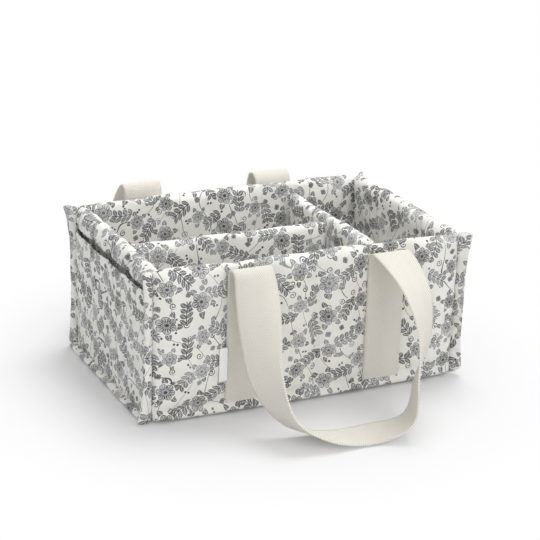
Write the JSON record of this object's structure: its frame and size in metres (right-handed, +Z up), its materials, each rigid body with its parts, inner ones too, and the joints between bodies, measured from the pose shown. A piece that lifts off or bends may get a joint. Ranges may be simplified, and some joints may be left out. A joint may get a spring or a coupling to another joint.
{
  "type": "diaper caddy",
  "caption": "Soft open-top nursery caddy with padded printed-cloth walls, webbing carry handles, end slip pockets and lift-out padded dividers that part it into compartments",
  "frame": {"origin": "middle of the underside, on the floor plane", "axes": "+X along the caddy's length to the right, -Y to the front, +Z up"},
  "size_m": [0.4286, 0.5674, 0.2052],
  "materials": {
    "print_cloth": "matte woven cotton, off-white with a grey floral print",
    "foam": "soft open-cell padding, hidden inside the covers",
    "webbing": "matte cream cotton twill webbing",
    "board": "plain stiffening board, hidden in the base",
    "tape": "white hook-and-loop tape",
    "label": "bare white woven tab"
  },
  "bodies": {
    "basket": {"front_wall_cover": "print_cloth", "front_wall_foam": "foam", "back_wall_cover": "print_cloth", "back_wall_foam": "foam", "left_end_cover": "print_cloth", "left_end_foam": "foam", "right_end_cover": "print_cloth", "right_end_foam": "foam", "base_cover": "print_cloth", "base_board": "board", "base_foam": "foam", "base_lining": "print_cloth", "front_left_flange": "print_cloth", "front_right_flange": "print_cloth", "back_left_flange": "print_cloth", "back_right_flange": "print_cloth", "left_foot_flange": "print_cloth", "right_foot_flange": "print_cloth", "left_pocket": "print_cloth", "right_pocket": "print_cloth", "side_tab": "label", "front_handle_left_strip": "webbing", "front_handle_right_strip": "webbing", "front_handle_left_bend": "webbing", "front_handle_right_bend": "webbing", "back_handle_left_strip": "webbing", "back_handle_right_strip": "webbing", "back_handle_left_bend": "webbing", "back_handle_right_bend": "webbing", "front_wall_tape": "tape", "back_wall_tape": "tape", "left_end_tape": "tape"},
    "front_handle": {"front_handle_loop": "webbing"},
    "back_handle": {"back_handle_loop": "webbing"},
    "cross_divider": {"cross_divider_cover": "print_cloth", "cross_divider_foam": "foam", "cross_divider_front_hook": "tape", "cross_divider_back_hook": "tape", "cross_divider_tape": "tape"},
    "long_divider": {"long_divider_cover": "print_cloth", "long_divider_foam": "foam", "long_divider_left_hook": "tape", "long_divider_right_hook": "tape"}
  },
  "joints": [
    {"name": "front_handle_swing", "type": "hinge", "parent": "basket", "child": "front_handle", "pos_m": [0.0065, -0.1395, 0.1675], "axis": [-1, 0, 0], "range_deg": [0, 122], "deforming": ["front_handle_left_bend", "front_handle_right_bend"]},
    {"name": "back_handle_swing", "type": "hinge", "parent": "basket", "child": "back_handle", "pos_m": [-0.018, 0.1435, 0.191], "axis": [1, 0, 0], "range_deg": [0, 122], "deforming": ["back_handle_left_bend", "back_handle_right_bend"]},
    {"name": "cross_divider_lift", "type": "slide", "parent": "basket", "child": "cross_divider", "axis": [0, 0, 1], "range_m": [0, 0.175]},
    {"name": "long_divider_lift", "type": "slide", "parent": "basket", "child": "long_divider", "axis": [0, 0, 1], "range_m": [0, 0.175]}
  ]
}
